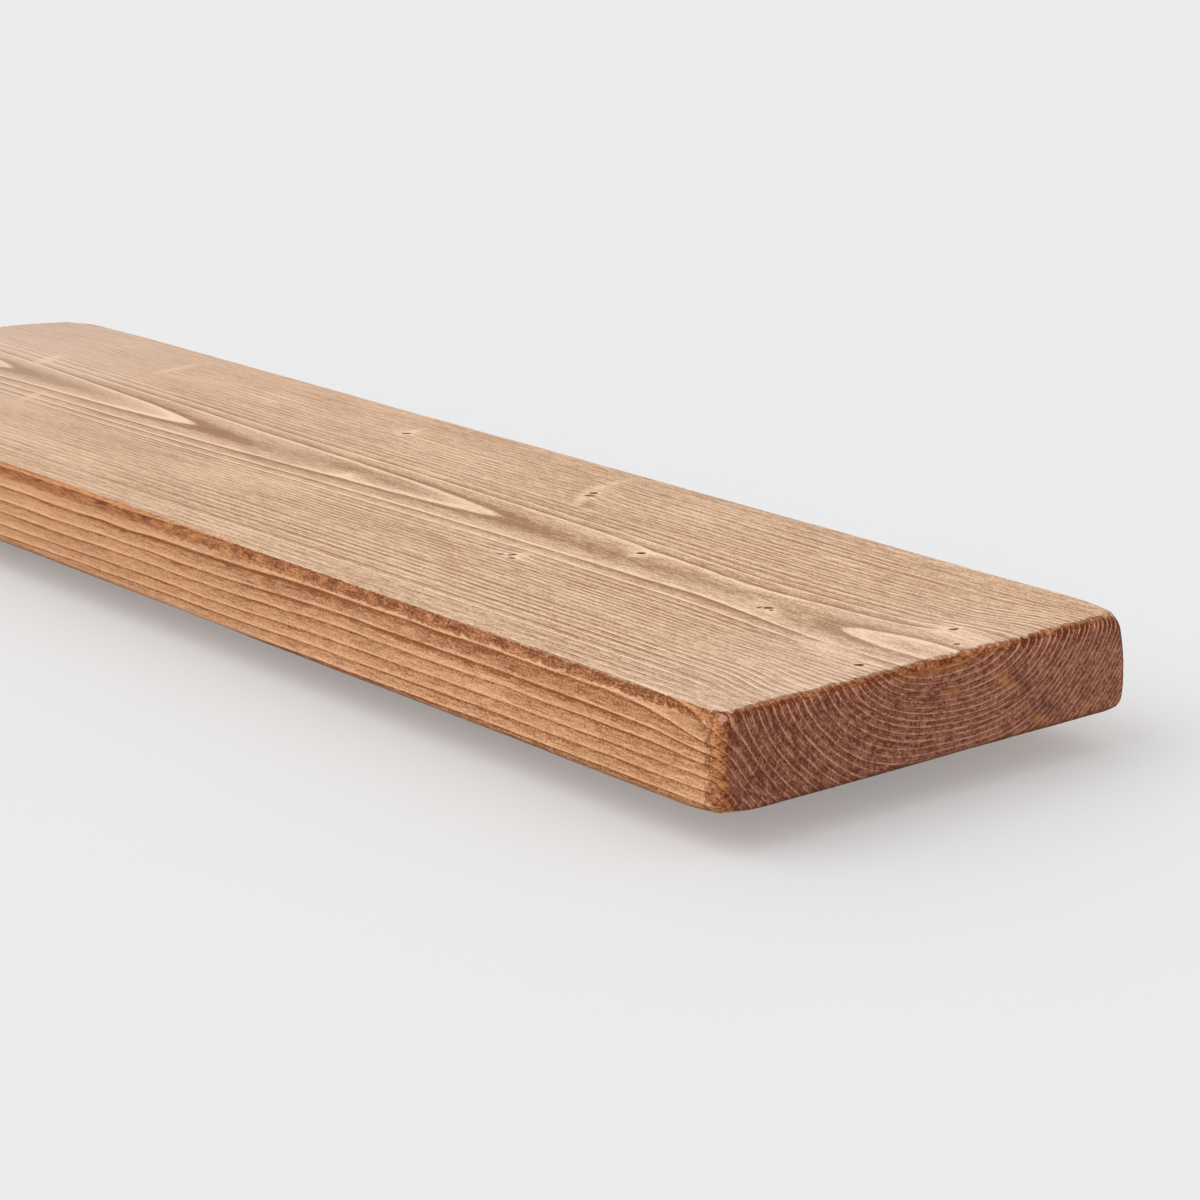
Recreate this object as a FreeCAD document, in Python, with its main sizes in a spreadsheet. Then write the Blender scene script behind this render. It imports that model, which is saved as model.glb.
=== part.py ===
"""Floating wall shelf: a thick softwood board on three hidden steel brackets.

Frame: origin on the wall, at the middle of the board's length and thickness. +X runs along the wall,
+Y into the wall and +Z up, so the board reaches out along -Y. Millimetres.
"""

import FreeCAD, Part
import os
import re

import Sketcher
from FreeCAD import Vector

# Driving sizes: alias, value in millimetres or degrees, what it is.
SIZES = (
    ("board_length", 900, "along the wall"),
    ("board_depth", 235, "from the wall to the front edge"),
    ("board_thickness", 44, "a 45 mm plank planed and sanded"),
    ("corner_radius", 5, "the board's upright corners, in plan"),
    ("arris_radius", 4, "the board's top and bottom arrises"),
    ("bracket_spacing", 300, "along the wall, from bracket to bracket"),
    ("plate_length", 100, "bracket plate, along the wall"),
    ("plate_height", 28, "bracket plate, upwards"),
    ("plate_thickness", 4, "bracket plate, out from the wall"),
    ("plate_corner_radius", 5, "bracket plate, seen from the front"),
    ("recess_gap", 1, "round and in front of a plate in its recess"),
    ("screw_edge_distance", 12, "from a plate's end to the middle of its screw"),
    ("screw_hole_clearance", 0.25, "between screw and plate, on the radius"),
    ("countersink_angle", 90, "screw head and plate"),
    ("rod_diameter", 12, "support rod"),
    ("rod_length", 150, "from the plate to the rod's tip"),
    ("rod_chamfer", 0.8, "at the rod's tip"),
    ("weld_leg", 2.5, "ring of weld, along the rod and along the plate"),
    ("weld_clearance", 1, "between the weld and the mouth of the bore"),
    ("bore_clearance", 0.25, "between rod and bore, on the radius"),
    ("bore_end_gap", 8, "from the rod's tip to the full bore's end"),
    ("drill_point_angle", 118, "at the bottom of the bore"),
    ("screw_length", 60, "overall"),
    ("screw_diameter", 5, "over the thread"),
    ("screw_head_diameter", 9.2, "countersunk head"),
    ("screw_head_sink", 0.2, "head's face below the plate's face"),
    ("drive_span", 4.4, "cross recess, from arm's end to arm's end"),
    ("drive_width", 1.1, "cross recess, across one arm"),
    ("drive_depth", 2.2, "cross recess"),
    ("plug_length", 40, "wall plug"),
    ("plug_diameter", 8, "wall plug, as its drilled hole"),
    ("plug_collar_length", 9, "whole sleeve at the plug's mouth"),
    ("plug_bore_clearance", 0.05, "between plug and thread, on the radius"),
    ("plug_set_depth", 3, "from the wall's face to the plug's mouth"),
    ("plug_slit_width", 1.2, "between the plug's legs"),
)
ALIASES = {alias for alias, value, note in SIZES}

# Sizes that follow from the driving ones.
RECESS_LENGTH = "plate_length + 2 * recess_gap"
RECESS_HEIGHT = "plate_height + 2 * recess_gap"
RECESS_CORNER = "plate_corner_radius + recess_gap"
RECESS_DEPTH = "(plate_thickness + recess_gap)"
ROD_TIP = "(plate_thickness + rod_length)"
BORE_RADIUS = "(rod_diameter / 2 + bore_clearance)"
BORE_BOTTOM = f"({ROD_TIP} + bore_end_gap)"
BORE_POINT = f"{BORE_RADIUS} / tan(drill_point_angle / 2 * 1 deg)"
MOUTH_RADIUS = "(rod_diameter / 2 + weld_leg - recess_gap + weld_clearance)"
WELD_RADIUS = "rod_diameter / 2 + weld_leg"
SCREW_ALONG = "(plate_length / 2 - screw_edge_distance)"
SCREW_HOLE = "screw_diameter + 2 * screw_hole_clearance"
COUNTERSINK_FLARE = "tan(countersink_angle / 2 * 1 deg)"
COUNTERSINK_DIAMETER = f"screw_head_diameter + 2 * screw_head_sink * {COUNTERSINK_FLARE}"
HEAD_CONE = f"(screw_head_diameter - screw_diameter) / 2 / {COUNTERSINK_FLARE}"
PLUG_BORE_RADIUS = "screw_diameter / 2 + plug_bore_clearance"

BRACKETS = (("left", -1), ("middle", 0), ("right", 1))
SCREWS = (("1", -1), ("2", 1))

# Geometry and point numbers that the sketcher uses.
ORIGIN, H_AXIS, V_AXIS = -1, -1, -2
START, END, CENTRE = 1, 2, 3
ON_AXIS = "0"

FULL_TURN = 360
# Lengths and volumes too small to count, in millimetres and cubic millimetres.
SAME_PLACE, NO_VOLUME = 1e-4, 1e-3

document = FreeCAD.newDocument("floating_wall_shelf")
sheet = document.addObject("Spreadsheet::Sheet", "sizes")
for row, (alias, value, note) in enumerate(SIZES, start=1):
    sheet.set(f"A{row}", alias)
    sheet.set(f"B{row}", str(value))
    sheet.setAlias(f"B{row}", alias)
    sheet.set(f"C{row}", note)
document.recompute()


# --- sizes and expressions ---


def cells(expression):
    """The expression with each size's name turned into its cell of the sheet."""
    return re.sub(
        r"[a-z]\w+", lambda word: ("sizes." if word[0] in ALIASES else "") + word[0], expression
    )


def size(expression):
    return float(sheet.evalExpression(cells(expression)))


def bind(thing, prop, expression):
    thing.setExpression(prop, cells(expression))


# --- sketches ---


def new_sketch(body, name, role, **offset):
    """A sketch on one of the body's own origin planes, moved along the plane's own x, y or z."""
    sketch = body.newObject("Sketcher::SketchObject", name)
    plane = next(p for p in body.Origin.OriginFeatures if p.Role == role)
    sketch.AttachmentSupport = (plane, [""])
    sketch.MapMode = "FlatFace"
    for axis, expression in offset.items():
        bind(sketch, f"AttachmentOffset.Base.{axis}", expression)
    return sketch


def pin_point(sketch, geometry, point, x, y):
    """Holds a point at x, y from the sketch's origin."""
    for kind, axis, expression in (("DistanceX", V_AXIS, x), ("DistanceY", H_AXIS, y)):
        if expression == ON_AXIS:
            sketch.addConstraint(Sketcher.Constraint("PointOnObject", geometry, point, axis))
            continue
        distance = Sketcher.Constraint(kind, ORIGIN, START, geometry, point, size(expression))
        index = sketch.addConstraint(distance)
        bind(sketch, f"Constraints[{index}]", expression)


def draw_outline(sketch, corners):
    """A closed outline of straight sides."""
    points = [Vector(size(x), size(y), 0) for x, y in corners]
    following = points[1:] + points[:1]
    for start, end in zip(points, following):
        sketch.addGeometry(Part.LineSegment(start, end))
    for side, (x, y) in enumerate(corners):
        onward = (side + 1) % len(corners)
        sketch.addConstraint(Sketcher.Constraint("Coincident", side, END, onward, START))
        pin_point(sketch, side, START, x, y)


def turned(point, turn):
    """A point's two expressions after this many quarter turns about the origin."""
    for _ in range(turn):
        x, y = point
        point = (f"-({y})", x)
    return point


def draw_circle(sketch, diameter, x=ON_AXIS, y=ON_AXIS):
    centre = Vector(size(x), size(y), 0)
    circle = sketch.addGeometry(Part.Circle(centre, Vector(0, 0, 1), size(diameter) / 2))
    index = sketch.addConstraint(Sketcher.Constraint("Diameter", circle, size(diameter)))
    bind(sketch, f"Constraints[{index}]", diameter)
    pin_point(sketch, circle, CENTRE, x, y)


def draw_rounded_rectangle(sketch, width, height, radius):
    """A rectangle with round corners, centred on the sketch's origin."""
    right, top, round_off = size(width) / 2, size(height) / 2, size(radius)
    quarter = FreeCAD.Units.Quantity("90 deg").getValueAs("rad").Value
    sides = []
    corners = []
    for turn in range(4):
        half_run, out = (right, top) if turn % 2 == 0 else (top, right)
        spin = FreeCAD.Rotation(Vector(0, 0, 1), 90 * turn)
        start = spin.multVec(Vector(round_off - half_run, -out, 0))
        end = spin.multVec(Vector(half_run - round_off, -out, 0))
        centre = spin.multVec(Vector(half_run - round_off, round_off - out, 0))
        circle = Part.Circle(centre, Vector(0, 0, 1), round_off)
        first = quarter * (turn - 1)
        sides.append(sketch.addGeometry(Part.LineSegment(start, end)))
        corners.append(sketch.addGeometry(Part.ArcOfCircle(circle, first, first + quarter)))
    for turn in range(4):
        side, corner, onward = sides[turn], corners[turn], sides[(turn + 1) % 4]
        sketch.addConstraint(Sketcher.Constraint("Tangent", side, END, corner, START))
        sketch.addConstraint(Sketcher.Constraint("Tangent", corner, END, onward, START))
        sketch.addConstraint(Sketcher.Constraint(("Horizontal", "Vertical")[turn % 2], side))
    for corner in corners[1:]:
        sketch.addConstraint(Sketcher.Constraint("Equal", corners[0], corner))
    middle = ("Symmetric", corners[0], CENTRE, corners[2], CENTRE, ORIGIN, START)
    sketch.addConstraint(Sketcher.Constraint(*middle))
    bottom_side, right_side, top_side, left_side = sides
    for constraint, expression in (
        (("DistanceX", left_side, START, right_side, START), width),
        (("DistanceY", bottom_side, START, top_side, START), height),
        (("Radius", corners[0]), radius),
    ):
        index = sketch.addConstraint(Sketcher.Constraint(*constraint, size(expression)))
        bind(sketch, f"Constraints[{index}]", expression)


# --- features ---


def new_body(name, **place):
    """A body under the piece's own name, put in place by expressions for x, y or z."""
    body = document.addObject("PartDesign::Body", name)
    body.Label = name
    for axis, expression in place.items():
        bind(body, f"Placement.Base.{axis}", expression)
    return body


def origin_axis(body, role):
    return next(a for a in body.Origin.OriginFeatures if a.Role == role), [""]


def pad(body, name, sketch, length, side="One side", reverse=False):
    feature = body.newObject("PartDesign::Pad", name)
    feature.Profile = sketch
    feature.SideType = side
    feature.Reversed = reverse
    bind(feature, "Length", length)
    document.recompute()
    return feature


def revolve(body, name, sketch, kind="PartDesign::Revolution"):
    """A full turn about the sketch's upright axis."""
    feature = body.newObject(kind, name)
    feature.Profile = sketch
    feature.ReferenceAxis = (sketch, ["V_Axis"])
    feature.Angle = FULL_TURN
    document.recompute()
    return feature


def pocket(body, name, sketch, depth=None, reverse=False):
    """A cut of this depth from the sketch, or right through the body both ways where none is given."""
    feature = body.newObject("PartDesign::Pocket", name)
    feature.Profile = sketch
    feature.Reversed = reverse
    if depth is None:
        feature.Type = "ThroughAll"
        feature.SideType = "Symmetric"
    else:
        bind(feature, "Length", depth)
    document.recompute()
    return feature


def round_edges(body, name, base, wanted, radius):
    """A fillet on the edges of the base that the test wants."""
    edges = enumerate(base.Shape.Edges, start=1)
    feature = body.newObject("PartDesign::Fillet", name)
    feature.Base = (base, [f"Edge{number}" for number, edge in edges if wanted(edge)])
    bind(feature, "Radius", radius)
    document.recompute()
    return feature


def repeat_along(body, name, features, role, length, count):
    pattern = body.newObject("PartDesign::LinearPattern", name)
    pattern.Originals = features
    pattern.Direction = origin_axis(body, role)
    bind(pattern, "Length", length)
    bind(pattern, "Occurrences", count)
    body.Tip = pattern
    document.recompute()
    return pattern


def expect_cut(body, before, what):
    """Stops the build where a cut has taken nothing off the body."""
    if not body.Shape.Volume < before - NO_VOLUME:
        raise RuntimeError(f"{what} cuts nothing from {body.Label}")


def lies_at(edge, height):
    """True where the whole edge lies level at this height."""
    return all(abs(z - height) < SAME_PLACE for z in (edge.BoundBox.ZMin, edge.BoundBox.ZMax))


# --- the pieces ---


def make_shelf_board():
    """The plank, with a recess and a blind bore in its back edge for each bracket."""
    body = new_body("shelf_board")
    plan = new_sketch(body, "board_plan", "XY_Plane")
    draw_outline(
        plan,
        (
            ("-board_length / 2", ON_AXIS),
            ("board_length / 2", ON_AXIS),
            ("board_length / 2", "-board_depth"),
            ("-board_length / 2", "-board_depth"),
        ),
    )
    plank = pad(body, "plank", plan, "board_thickness", side="Symmetric")

    def upright(edge):
        return edge.BoundBox.ZLength > size("board_thickness") / 2

    corners = round_edges(body, "round_corners", plank, upright, "corner_radius")
    top = size("board_thickness") / 2

    def arris(edge):
        return lies_at(edge, top) or lies_at(edge, -top)

    round_edges(body, "round_arrises", corners, arris, "arris_radius")

    whole = body.Shape.Volume
    opening = new_sketch(body, "recess_outline", "XZ_Plane", x="-bracket_spacing")
    draw_rounded_rectangle(opening, RECESS_LENGTH, RECESS_HEIGHT, RECESS_CORNER)
    recess = pocket(body, "plate_recess", opening, RECESS_DEPTH, reverse=True)
    expect_cut(body, whole, "the plate recess")

    recessed = body.Shape.Volume
    section = new_sketch(body, "bore_section", "XY_Plane", x="-bracket_spacing")
    draw_outline(
        section,
        (
            (ON_AXIS, f"-{RECESS_DEPTH}"),
            (MOUTH_RADIUS, f"-{RECESS_DEPTH}"),
            (BORE_RADIUS, f"-{RECESS_DEPTH} - {MOUTH_RADIUS} + {BORE_RADIUS}"),
            (BORE_RADIUS, f"-{BORE_BOTTOM}"),
            (ON_AXIS, f"-{BORE_BOTTOM} - {BORE_POINT}"),
        ),
    )
    bore = revolve(body, "rod_bore", section, "PartDesign::Groove")
    expect_cut(body, recessed, "the rod bore")

    reach = f"{len(BRACKETS) - 1} * bracket_spacing"
    repeat_along(body, "all_brackets", [recess, bore], "X_Axis", reach, str(len(BRACKETS)))
    return body


def make_bracket_plate(name, along):
    """A steel flat against the wall, with two countersunk screw holes."""
    body = new_body(name, x=along)
    outline = new_sketch(body, "plate_outline", "XZ_Plane")
    draw_rounded_rectangle(outline, "plate_length", "plate_height", "plate_corner_radius")
    pad(body, "flat", outline, "plate_thickness")

    whole = body.Shape.Volume
    centres = new_sketch(body, "hole_centres", "XZ_Plane", z="plate_thickness")
    for screw, side in SCREWS:
        draw_circle(centres, SCREW_HOLE, x=f"{side} * {SCREW_ALONG}")
    document.recompute()
    holes = body.newObject("PartDesign::Hole", "screw_holes")
    holes.Profile = centres
    holes.ThreadType = "None"
    holes.DepthType = "ThroughAll"
    holes.HoleCutType = "Countersink"
    holes.HoleCutCustomValues = True
    bind(holes, "Diameter", SCREW_HOLE)
    bind(holes, "HoleCutDiameter", COUNTERSINK_DIAMETER)
    bind(holes, "HoleCutCountersinkAngle", "countersink_angle")
    document.recompute()
    expect_cut(body, whole, "the countersunk holes")
    return body


def make_support_rod(name, along):
    """A round bar, square against its plate and chamfered at its tip."""
    body = new_body(name, x=along)
    section = new_sketch(body, "rod_section", "XY_Plane")
    draw_outline(
        section,
        (
            (ON_AXIS, "-plate_thickness"),
            ("rod_diameter / 2", "-plate_thickness"),
            ("rod_diameter / 2", f"-{ROD_TIP} + rod_chamfer"),
            ("rod_diameter / 2 - rod_chamfer", f"-{ROD_TIP}"),
            (ON_AXIS, f"-{ROD_TIP}"),
        ),
    )
    revolve(body, "bar", section)
    return body


def make_rod_weld(name, along):
    """The ring of weld in the corner between rod and plate."""
    body = new_body(name, x=along)
    section = new_sketch(body, "weld_section", "XY_Plane")
    draw_outline(
        section,
        (
            ("rod_diameter / 2", "-plate_thickness"),
            (WELD_RADIUS, "-plate_thickness"),
            ("rod_diameter / 2", "-plate_thickness - weld_leg"),
        ),
    )
    revolve(body, "ring", section)
    return body


def make_wall_screw(name, along):
    """A countersunk screw with a cross recess; its shank is as thick as the thread's crests."""
    body = new_body(name, x=along, y="screw_head_sink - plate_thickness")
    section = new_sketch(body, "screw_section", "XY_Plane")
    draw_outline(
        section,
        (
            (ON_AXIS, ON_AXIS),
            ("screw_head_diameter / 2", ON_AXIS),
            ("screw_diameter / 2", HEAD_CONE),
            ("screw_diameter / 2", "screw_length"),
            (ON_AXIS, "screw_length"),
        ),
    )
    revolve(body, "screw", section)

    whole = body.Shape.Volume
    cross = new_sketch(body, "cross_outline", "XZ_Plane")
    arm, end = "drive_width / 2", "drive_span / 2"
    quarter = ((end, arm), (arm, arm), (arm, end))
    draw_outline(cross, [turned(point, turn) for turn in range(4) for point in quarter])
    pocket(body, "cross_recess", cross, "drive_depth")
    expect_cut(body, whole, "the driver recess")
    return body


def make_wall_plug(name, along):
    """A nylon plug set in the wall: a whole collar, then two legs that the screw holds apart."""
    body = new_body(name, x=along, y="plug_set_depth")
    section = new_sketch(body, "plug_section", "XZ_Plane")
    draw_circle(section, "plug_diameter")
    draw_circle(section, f"2 * ({PLUG_BORE_RADIUS})")
    pad(body, "sleeve", section, "plug_length", reverse=True)

    whole = body.Shape.Volume
    slit = new_sketch(body, "slit_outline", "XY_Plane")
    edge, past_end = "plug_slit_width / 2", "plug_length + plug_slit_width"
    draw_outline(
        slit,
        (
            (f"-{edge}", "plug_collar_length"),
            (edge, "plug_collar_length"),
            (edge, past_end),
            (f"-{edge}", past_end),
        ),
    )
    pocket(body, "slit", slit)
    expect_cut(body, whole, "the slit")
    return body


def make_pieces():
    pieces = [make_shelf_board()]
    for place, side in BRACKETS:
        along = f"{side} * bracket_spacing"
        pieces.append(make_bracket_plate(f"bracket_plate_{place}", along))
        pieces.append(make_support_rod(f"support_rod_{place}", along))
        pieces.append(make_rod_weld(f"rod_weld_{place}", along))
        for number, hand in SCREWS:
            screw_along = f"{along} + {hand} * {SCREW_ALONG}"
            pieces.append(make_wall_screw(f"wall_screw_{place}_{number}", screw_along))
            pieces.append(make_wall_plug(f"wall_plug_{place}_{number}", screw_along))
    return pieces


def check(pieces):
    """Stops the build where a feature failed or a piece is not one sound solid."""
    failed = [o.Label for o in document.Objects if "Invalid" in o.State or "Error" in o.State]
    if failed:
        raise RuntimeError(f"failed features: {failed}")
    for piece in pieces:
        shape = piece.Shape
        if shape.isNull() or not shape.isValid() or len(shape.Solids) != 1:
            raise RuntimeError(f"{piece.Label} is not one valid solid")


pieces = make_pieces()
document.recompute()
check(pieces)
os.makedirs("parts", exist_ok=True)
for piece in pieces:
    piece.Shape.exportStep(f"parts/{piece.Label}.step")
    print(f"{piece.Label}: {piece.Shape.Volume:.1f} mm3")
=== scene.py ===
"""Looks of the floating wall shelf: a stained, brushed softwood plank on three hidden steel brackets.

Sizes in the mesh code are millimetres in the part's frame (+X along the wall, +Y into it, +Z up) and
become metres when a mesh is made.
"""

import math

import bmesh
import bpy
import numpy as np
from mathutils import Euler, Matrix, Vector


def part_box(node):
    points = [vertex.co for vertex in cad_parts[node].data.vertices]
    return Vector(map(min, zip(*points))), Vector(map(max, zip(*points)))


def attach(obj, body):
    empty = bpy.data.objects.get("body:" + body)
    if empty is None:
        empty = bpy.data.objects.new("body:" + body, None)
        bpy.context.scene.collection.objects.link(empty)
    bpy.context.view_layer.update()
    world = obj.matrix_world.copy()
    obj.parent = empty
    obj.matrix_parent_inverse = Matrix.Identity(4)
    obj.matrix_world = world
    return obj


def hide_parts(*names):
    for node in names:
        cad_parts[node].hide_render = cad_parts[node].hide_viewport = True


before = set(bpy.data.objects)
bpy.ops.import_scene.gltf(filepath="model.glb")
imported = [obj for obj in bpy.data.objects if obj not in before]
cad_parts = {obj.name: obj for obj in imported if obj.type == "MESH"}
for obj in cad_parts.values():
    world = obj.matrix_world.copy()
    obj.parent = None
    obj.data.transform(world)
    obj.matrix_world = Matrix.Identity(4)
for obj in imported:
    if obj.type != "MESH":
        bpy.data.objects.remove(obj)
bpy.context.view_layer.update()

MM = 1000  # millimetres in a metre

# The board, read off its solid.
BOARD_LOW, BOARD_HIGH = (np.array(corner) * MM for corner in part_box("shelf_board"))
BACK, FRONT = BOARD_HIGH[1], BOARD_LOW[1]
BOTTOM, TOP = BOARD_LOW[2], BOARD_HIGH[2]
END = BOARD_HIGH[0]

# Sizes of the brackets and of what the board has for them, as in the part's source.
SPACING = 300.0
BRACKETS = (("left", -SPACING), ("middle", 0.0), ("right", SPACING))
SCREWS = (("1", -38.0), ("2", 38.0))
PLATE_LENGTH, PLATE_HEIGHT, PLATE_CORNER = 100.0, 28.0, 5.0
PLATE_DEPTH, PLATE_CHAMFER = 4.0, 0.5
RECESS_LENGTH, RECESS_HEIGHT, RECESS_CORNER, RECESS_DEPTH = 102.0, 30.0, 6.0, 5.0
ROD_RADIUS, ROD_TIP, ROD_CHAMFER = 6.0, 154.0, 0.8
BORE_RADIUS, MOUTH_RADIUS, BORE_END_GAP, DRILL_HALF_ANGLE = 6.25, 8.5, 8.0, 59
SCREW_HOLE_RADIUS, COUNTERSINK_RADIUS = 2.75, 4.8
WELD_LEG = 2.5

# Pin knots on the top face: x, y, rings that the grain is pushed aside, and reach.
KNOTS = (
    (344, -117.3, 0.12, 6), (235.9, -99, 0.22, 7), (131, -43.5, -0.8, 12),
    (-39.6, -34.5, -0.5, 9), (198.4, -148, 0.4, 8), (420.8, -78, -0.7, 12),
    (438, -93, 0.1, 4), (434.4, -145.4, -0.15, 4), (18.7, -114.2, 0.12, 6),
)

# Their dark cores and the cracks beside them: x, y, half length, half width and turn.
MARKS = (
    (344.4, -116.2, 1.95, 1.35, 40), (341, -118.6, 1.2, 0.8, 60), (348, -117.6, 1, 0.8, 20),
    (235.9, -99, 2.2, 1.55, 50), (130.4, -42.4, 1.9, 1.4, 40), (133.6, -47.6, 2.6, 1.3, 45),
    (-39.6, -34.5, 2.5, 1.25, 50), (199.2, -146.4, 1.95, 1.05, 50), (194.6, -150, 1.6, 1, 50),
    (204, -150.5, 1.4, 0.9, 30), (420.6, -77.8, 1.9, 1.05, 50), (438.2, -93, 1.35, 0.95, 50),
    (434.2, -145.6, 1.9, 1.3, 50),
)


# --- smooth numbers ---


def smoothstep(low, high, value):
    """0 at low and 1 at high, with a smooth rise between them; low may be the larger."""
    t = np.clip((value - low) / (high - low), 0, 1)
    return t * t * (3 - 2 * t)


def bell(value, middle, width):
    """A smooth hump, 1 at the middle."""
    return np.exp(-(((value - middle) / width) ** 2))


def scatter(i, j, k, seed):
    """A repeatable number from 0 to 1 for each whole-number point."""
    mixed = (i * 73856093) ^ (j * 19349663) ^ (k * 83492791) ^ (seed * 40503211)
    mixed = ((mixed ^ (mixed >> 13)) * 1274126177) & 0x7FFFFFFF
    return ((mixed ^ (mixed >> 15)) & 0xFFFF) / 0xFFFF


def drift(x, y, z, cell, seed):
    """Smooth noise from -1 to 1 that changes over a cell of this size."""
    spots = [np.asarray(v, float) / size for v, size in zip((x, y, z), cell)]
    whole = [np.floor(s).astype(np.int64) for s in spots]
    part = [smoothstep(0, 1, s - w) for s, w in zip(spots, whole)]
    total = 0
    for corner in range(8):
        step = (corner & 1, corner >> 1 & 1, corner >> 2 & 1)
        weight = 1
        for s, f in zip(step, part):
            weight = weight * (f if s else 1 - f)
        total = total + weight * scatter(*(w + s for w, s in zip(whole, step)), seed)
    return 2 * total - 1


# --- the wood ---

PITH_Y, PITH_HEIGHT = -107.0, 64.55
TIPS_Y = -110.0  # the middle of the grain's long tips on the top face


def pith_drop(x, y):
    """Distance from the board's top face up to the pith, which sets where the grain's long tips lie."""
    return PITH_HEIGHT + 0.0126 * x - (1.6 + 3.1 * bell(y, TIPS_Y, 70)) * smoothstep(296, 446, x)


def pith_line(x, y):
    """The y of the pith along the board; the rings far from it keep straighter than it does."""
    bend = 2.4 * smoothstep(390, 445, x) - 5.6 * smoothstep(150, 385, x) - 2.6 * smoothstep(60, -140, x)
    return PITH_Y + bell(y, TIPS_Y, 60) * (bend + 0.5 * np.sin(x / 61.0))


def end_swell(x, y, z):
    """Rings by which the grain of the top face spreads away from the knots by the right end."""
    swell = 2.3 * bell(y, -48, 24) + 1.5 * bell(y, -192, 30)
    return swell * smoothstep(441, 404, x) * smoothstep(-14, 14, z)


# Radii of the growth rings' hard lines towards the front face, from the first that reaches the board.
FRONT_RINGS = (
    57.8, 60.4, 62.9, 66.3, 70.0, 73.5, 75.4, 77.5, 79.7, 81.6, 84.0, 85.9, 88.7, 91.6, 94.6, 98.1, 102.2,
    105.5, 108.7, 112.0, 115.9, 118.7, 121.9, 125.7, 128.7, 132.1, 135.5, 139.0, 143.8, 147.3, 150.7, 153.7,
    157.3, 160.6,
)


def back_rings():
    """Radii of the same rings towards the back face, where they lie closer together."""
    radii = [*FRONT_RINGS[:5], 73.3, 76.1, 79.7, 82.6, 85.3]
    while radii[-1] < 175:
        step = max(2.75 - 0.014 * (radii[-1] - 85), 1.9)
        radii.append(radii[-1] + step * (1 + 0.22 * math.sin(2.4 * len(radii))))
    return radii


def knot_field(x, y):
    """How far the knots push the rings, and how near the nearest knot is, from 0 to 1."""
    push, near = 0, 0
    for knot_x, knot_y, rings, reach in KNOTS:
        away = ((x - knot_x) / (1.25 * reach)) ** 2 + ((y - knot_y) / reach) ** 2
        push = push + rings * np.exp(-away)
        near = np.maximum(near, np.exp(-1.6 * away))
    return push, near


def count_from(radii, radius):
    """Rings out from the fifth of these radii, which just misses the top face."""
    return np.interp(radius, radii, np.arange(len(radii)) - 4.0)


def ring_count(x, y, z):
    """Growth rings at each point; whole numbers are the rings' outer edges."""
    wave_y = 0.5 * drift(x, y, z, (90, 30, 30), 3) + 0.22 * drift(x, y, z, (24, 9, 9), 4)
    wave_z = (0.4 - 0.32 * bell(y, TIPS_Y, 45)) * drift(x, y, z, (90, 30, 30), 5)
    across = y - pith_line(x, y) + wave_y
    below = np.maximum(TOP - z, 0)
    steeper = np.where(across > 0, 7.5, 5.5) * smoothstep(0, 60, np.abs(across)) * (1 - np.exp(-below / 9))
    down = TOP + pith_drop(x, y) - z + wave_z - steeper
    radius = np.hypot(across, down)
    to_front = smoothstep(20, -50, across)
    front = count_from(FRONT_RINGS, radius) + np.maximum(radius - FRONT_RINGS[-1], 0) / 3.5
    count = to_front * front + (1 - to_front) * count_from(back_rings(), radius)
    corner = bell(x, 458, 34) * bell(y, -236, 9) * bell(z, 14, 10)
    return count + knot_field(x, y)[0] + end_swell(x, y, z) - 1.1 * corner


def ridge(count):
    """Height of the brushed surface over one ring, from 0 in the soft wood to 1 on the hard line."""
    phase = count - np.floor(count)
    return smoothstep(0.35, 0.86, phase) * (1 - smoothstep(0.93, 1.0, phase))


# --- mesh making ---


def add_object(name, data):
    """A new object in the scene."""
    thing = bpy.data.objects.new(name, data)
    bpy.context.scene.collection.objects.link(thing)
    return thing


def new_object(name, points, faces, smooth_angle=38):
    """A mesh object from millimetre points and index lists, shaded smooth up to the angle."""
    mesh = bpy.data.meshes.new(name)
    mesh.from_pydata((np.asarray(points, float) / MM).tolist(), [], faces)
    mesh.validate()
    mesh.update()
    shade(mesh, smooth_angle)
    return add_object(name, mesh)


def shade(mesh, smooth_angle):
    """Smooth shading, with edges sharper than the angle left sharp."""
    mesh.polygons.foreach_set("use_smooth", [True] * len(mesh.polygons))
    mesh.set_sharp_from_angle(angle=math.radians(smooth_angle))


def grid_faces(rows, columns, closed=False, start=0):
    """Quads over rows of points; closed joins each row's end to its start."""
    faces = []
    for row in range(rows - 1):
        for column in range(columns if closed else columns - 1):
            right = (column + 1) % columns
            a, b = start + row * columns + column, start + row * columns + right
            faces.append((a, b, b + columns, a + columns))
    return faces


def solid(name, points, faces, **options):
    """A closed mesh object, with doubled points joined and every face turned outward."""
    thing = new_object(name, points, faces, **options)
    form = bmesh.new()
    form.from_mesh(thing.data)
    bmesh.ops.remove_doubles(form, verts=form.verts, dist=1e-6)
    bmesh.ops.recalc_face_normals(form, faces=form.faces)
    if form.calc_volume(signed=True) < 0:
        bmesh.ops.reverse_faces(form, faces=form.faces)
    form.to_mesh(thing.data)
    form.free()
    return thing


def circles(rows, segments):
    """Points round Y for each (radius, y) pair."""
    angles = np.linspace(0, 2 * math.pi, segments, endpoint=False)
    return [(radius * math.sin(a), y, radius * math.cos(a)) for radius, y in rows for a in angles]


def fan(first, segments, tip):
    """Triangles from a circle of points to a tip."""
    return [(first + step, first + (step + 1) % segments, tip) for step in range(segments)]


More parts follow.
